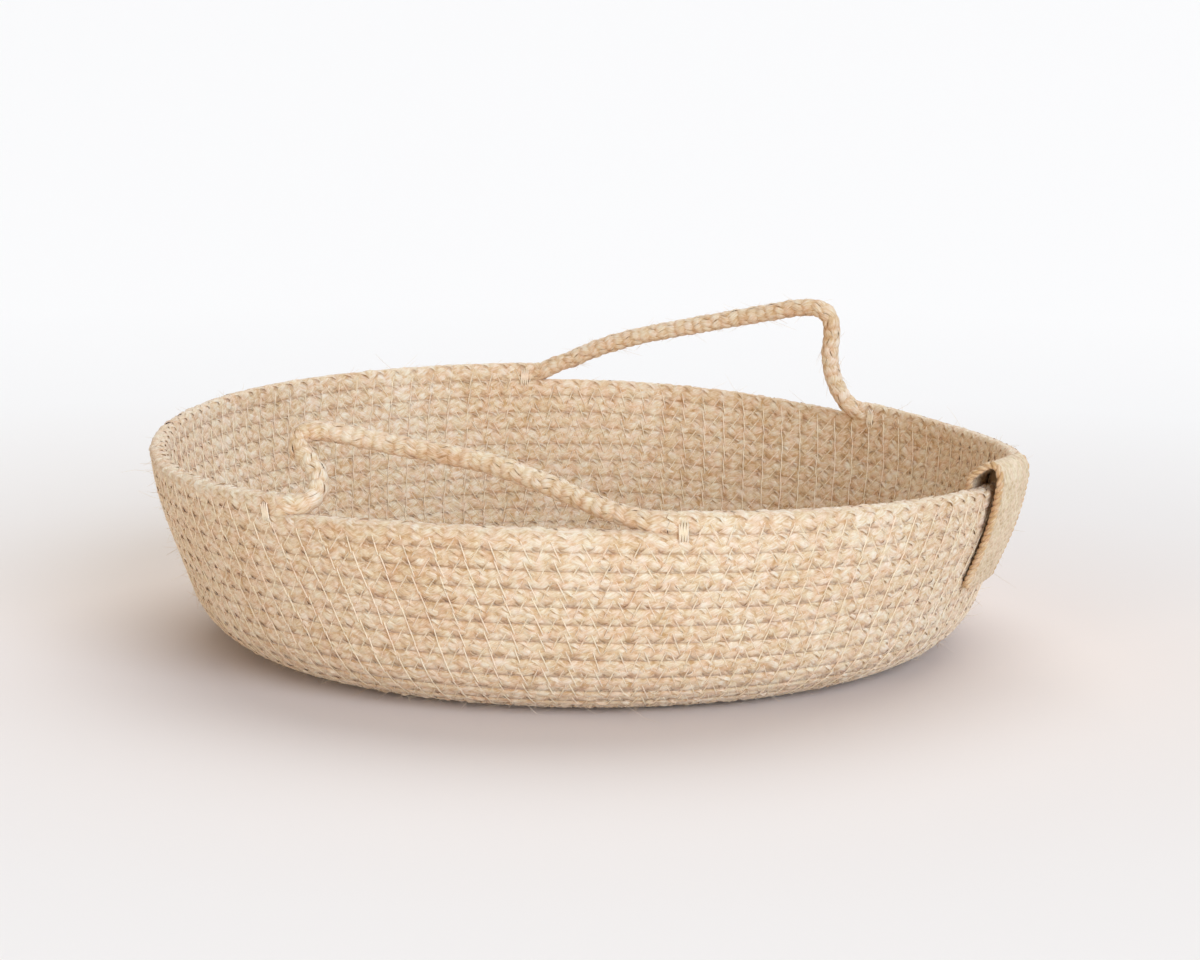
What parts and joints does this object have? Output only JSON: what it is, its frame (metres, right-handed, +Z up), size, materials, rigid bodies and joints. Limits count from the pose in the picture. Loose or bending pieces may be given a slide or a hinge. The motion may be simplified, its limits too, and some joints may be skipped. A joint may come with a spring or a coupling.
{
  "type": "coiled jute storage basket",
  "caption": "Shallow round storage basket of braided jute cord, coiled and sewn, with a flared wall, rope handles lifted from the top course and a folded tape tag on the rim.",
  "frame": {"origin": "centre of the coiled base, on the surface the basket stands on", "axes": "+Z up; the two handles stand about -Y (front) and +Y (rear); the tag hangs over the rim about +X"},
  "size_m": [0.298, 0.2925, 0.1041],
  "materials": {
    "jute_cord": "matte braided jute with loose fibres",
    "sewing_thread": "fine cream spun thread",
    "jute_tape": "matte plain-woven jute tape"
  },
  "bodies": {
    "basket": {"base_coil": "jute_cord", "wall_coil": "jute_cord", "rim_left": "jute_cord", "rim_end": "jute_cord", "front_right_tack": "sewing_thread", "front_left_tack": "sewing_thread", "rear_left_tack": "sewing_thread", "rear_right_tack": "sewing_thread", "tag": "jute_tape"},
    "front_handle": {"front_handle": "jute_cord"},
    "rear_handle": {"rear_handle": "jute_cord"}
  },
  "joints": [
    {"name": "front_handle_swing", "type": "hinge", "parent": "basket", "child": "front_handle", "pos_m": [0.00453, -0.1297, 0.06416], "axis": [-0.9993, -0.0349, -0.0111], "range_deg": [-105, 30], "stiffness_Nm_per_rad": 0.005},
    {"name": "rear_handle_swing", "type": "hinge", "parent": "basket", "child": "rear_handle", "pos_m": [0.00466, 0.12756, 0.06649], "axis": [0.9978, -0.0282, -0.0603], "range_deg": [-68, 67], "stiffness_Nm_per_rad": 0.005}
  ]
}
